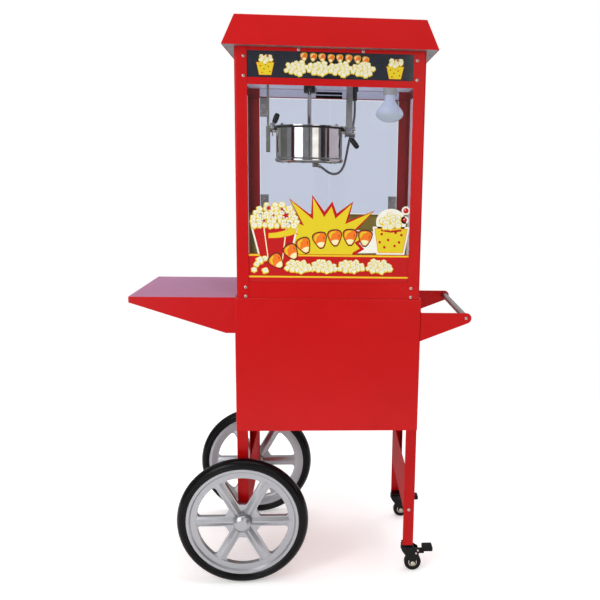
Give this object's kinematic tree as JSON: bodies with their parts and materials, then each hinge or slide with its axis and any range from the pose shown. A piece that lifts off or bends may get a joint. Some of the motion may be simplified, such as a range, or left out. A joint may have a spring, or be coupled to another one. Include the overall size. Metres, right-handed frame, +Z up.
{
  "type": "popcorn machine on cart",
  "caption": "Glazed popcorn machine with a tilting kettle and a pitched roof, on a wheeled cart with a side shelf, a push handle and braked swivel casters.",
  "frame": {"origin": "middle of the footprint on the floor, under the centre of the overall box", "axes": "+Z up; -Y is the front with the sign; the side shelf points to -X, the push handle to +X"},
  "size_m": [0.9394, 0.494, 1.558],
  "materials": {
    "red_powder_coat": "gloss powder coat",
    "shelf_powder_coat": "gloss powder coat",
    "sign_acrylic": "polished acrylic sheet, black from behind",
    "clear_glass": "tempered, polished",
    "polished_stainless": "mirror polished",
    "brushed_stainless": "brushed",
    "zinc_plated_steel": "zinc plated",
    "grey_sheet_steel": "galvanised, dull",
    "silver_wheel": "metallic silver, satin",
    "tyre_rubber": "smooth black",
    "caster_rubber": "smooth black",
    "black_nylon": "moulded",
    "black_phenolic": "moulded, polished",
    "bulb_glass": "frosted inside",
    "lamp_ceramic": "glazed",
    "lead_braid": "braided sleeve",
    "screw_steel": "plated"
  },
  "bodies": {
    "root": {"cart_shell": "red_powder_coat", "cart_deck": "grey_sheet_steel", "cart_floor": "grey_sheet_steel", "cart_legs": "red_powder_coat", "leg_ties": "red_powder_coat", "axle": "zinc_plated_steel", "hub_caps": "silver_wheel", "side_shelf": "shelf_powder_coat", "handle_brackets": "red_powder_coat", "handle_tube": "brushed_stainless", "caster_plates": "zinc_plated_steel", "machine_base": "red_powder_coat", "popping_floor": "brushed_stainless", "corner_posts": "red_powder_coat", "header_frame": "red_powder_coat", "sign_panel": "sign_acrylic", "rear_header": "red_powder_coat", "ceiling_plate": "brushed_stainless", "roof_tray": "grey_sheet_steel", "roof_canopy": "red_powder_coat", "front_glass": "clear_glass", "side_glasses": "clear_glass", "rear_sill": "brushed_stainless", "left_hanger": "zinc_plated_steel", "right_hanger": "polished_stainless", "drive_motor": "grey_sheet_steel", "lamp_holder": "lamp_ceramic", "lamp_bulb": "bulb_glass", "lead_socket": "zinc_plated_steel", "kettle_lead": "lead_braid", "power_inlet": "black_nylon", "round_head_screws": "screw_steel"},
    "front_wheel": {"front_wheel_rim": "silver_wheel", "front_wheel_tyre": "tyre_rubber"},
    "rear_wheel": {"rear_wheel_rim": "silver_wheel", "rear_wheel_tyre": "tyre_rubber"},
    "front_caster": {"front_caster_fork": "black_nylon"},
    "rear_caster": {"rear_caster_fork": "black_nylon"},
    "front_caster_roller": {"front_caster_wheel": "caster_rubber"},
    "rear_caster_roller": {"rear_caster_wheel": "caster_rubber"},
    "front_caster_pedal": {"front_caster_brake": "black_nylon"},
    "rear_caster_pedal": {"rear_caster_brake": "black_nylon"},
    "cart_door": {"storage_door": "red_powder_coat"},
    "drawer": {"kernel_drawer": "brushed_stainless"},
    "left_door": {"left_door_glass": "clear_glass", "left_door_fittings": "polished_stainless"},
    "right_door": {"right_door_glass": "clear_glass", "right_door_fittings": "polished_stainless"},
    "kettle": {"kettle_pot": "polished_stainless", "kettle_heater": "polished_stainless", "kettle_yoke": "zinc_plated_steel", "tip_grip": "black_phenolic"},
    "stirrer_body": {"stirrer": "polished_stainless"},
    "collar": {"drive_collar": "black_nylon"},
    "front_lid": {"kettle_front_lid": "polished_stainless"},
    "rear_lid": {"kettle_rear_lid": "polished_stainless"},
    "latch": {"latch_lever": "black_phenolic"},
    "heat_rocker": {"heat_switch": "black_nylon"},
    "light_rocker": {"light_switch": "black_nylon"},
    "stir_rocker": {"stir_switch": "black_nylon"}
  },
  "joints": [
    {"name": "front_wheel_spin", "type": "hinge", "parent": "root", "child": "front_wheel", "pos_m": [-0.16625, -0.213, 0.185], "axis": [0, 1, 0], "continuous": true},
    {"name": "front_caster_swivel", "type": "hinge", "parent": "root", "child": "front_caster", "pos_m": [0.31025, -0.168, 0.082], "axis": [0, 0, 1], "continuous": true},
    {"name": "front_caster_roll", "type": "hinge", "parent": "front_caster", "child": "front_caster_roller", "pos_m": [0.32725, -0.168, 0.025], "axis": [0, 1, 0], "continuous": true},
    {"name": "front_caster_brake_press", "type": "hinge", "parent": "front_caster", "child": "front_caster_pedal", "pos_m": [0.33625, -0.168, 0.057], "axis": [0, 1, 0], "range_deg": [0, 15]},
    {"name": "rear_wheel_spin", "type": "hinge", "parent": "root", "child": "rear_wheel", "pos_m": [-0.16625, 0.213, 0.185], "axis": [0, 1, 0], "continuous": true},
    {"name": "rear_caster_swivel", "type": "hinge", "parent": "root", "child": "rear_caster", "pos_m": [0.31025, 0.168, 0.082], "axis": [0, 0, 1], "continuous": true},
    {"name": "rear_caster_roll", "type": "hinge", "parent": "rear_caster", "child": "rear_caster_roller", "pos_m": [0.32725, 0.168, 0.025], "axis": [0, 1, 0], "continuous": true},
    {"name": "rear_caster_brake_press", "type": "hinge", "parent": "rear_caster", "child": "rear_caster_pedal", "pos_m": [0.33625, 0.168, 0.057], "axis": [0, 1, 0], "range_deg": [0, 15]},
    {"name": "cart_door_swing", "type": "hinge", "parent": "root", "child": "cart_door", "pos_m": [-0.14225, 0.176, 0.63], "axis": [0, 0, 1], "range_deg": [0, 90]},
    {"name": "drawer_slide", "type": "slide", "parent": "root", "child": "drawer", "axis": [0, 1, 0], "range_m": [0, 0.2]},
    {"name": "left_door_swing", "type": "hinge", "parent": "root", "child": "left_door", "pos_m": [-0.13675, 0.178, 1.207], "axis": [0, 0, 1], "range_deg": [0, 105]},
    {"name": "right_door_swing", "type": "hinge", "parent": "root", "child": "right_door", "pos_m": [0.27925, 0.178, 1.207], "axis": [0, 0, -1], "range_deg": [0, 105]},
    {"name": "kettle_tilt", "type": "hinge", "parent": "root", "child": "kettle", "pos_m": [0.01225, 0, 1.278], "axis": [1, 0, 0], "range_deg": [0, 105], "deforming": ["kettle_lead"]},
    {"name": "stirrer_spin", "type": "hinge", "parent": "kettle", "child": "stirrer_body", "pos_m": [0.01225, 0, 1.25], "axis": [0, 0, 1], "continuous": true},
    {"name": "collar_spin", "type": "hinge", "parent": "root", "child": "collar", "pos_m": [0.01225, 0, 1.4], "axis": [0, 0, 1], "continuous": true},
    {"name": "front_lid_lift", "type": "hinge", "parent": "kettle", "child": "front_lid", "pos_m": [0.01225, -0.0135, 1.2935], "axis": [-1, 0, 0], "range_deg": [0, 80]},
    {"name": "rear_lid_lift", "type": "hinge", "parent": "kettle", "child": "rear_lid", "pos_m": [0.01225, 0.0135, 1.2935], "axis": [1, 0, 0], "range_deg": [0, 80]},
    {"name": "latch_press", "type": "hinge", "parent": "kettle", "child": "latch", "pos_m": [-0.09075, 0, 1.2968], "axis": [0, -1, 0], "range_deg": [0, 8], "stiffness_Nm_per_rad": 0.15, "springref_deg": -6.88},
    {"name": "heat_rocker_press", "type": "hinge", "parent": "root", "child": "heat_rocker", "pos_m": [0.00125, 0.1835, 1.434], "axis": [-1, 0, 0], "range_deg": [0, 14]},
    {"name": "light_rocker_press", "type": "hinge", "parent": "root", "child": "light_rocker", "pos_m": [0.07125, 0.1835, 1.434], "axis": [-1, 0, 0], "range_deg": [0, 14]},
    {"name": "stir_rocker_press", "type": "hinge", "parent": "root", "child": "stir_rocker", "pos_m": [0.14125, 0.1835, 1.434], "axis": [-1, 0, 0], "range_deg": [0, 14]}
  ],
  "couplings": [
    {"joint": "collar_spin", "follows": "stirrer_spin", "ratio": 1}
  ]
}
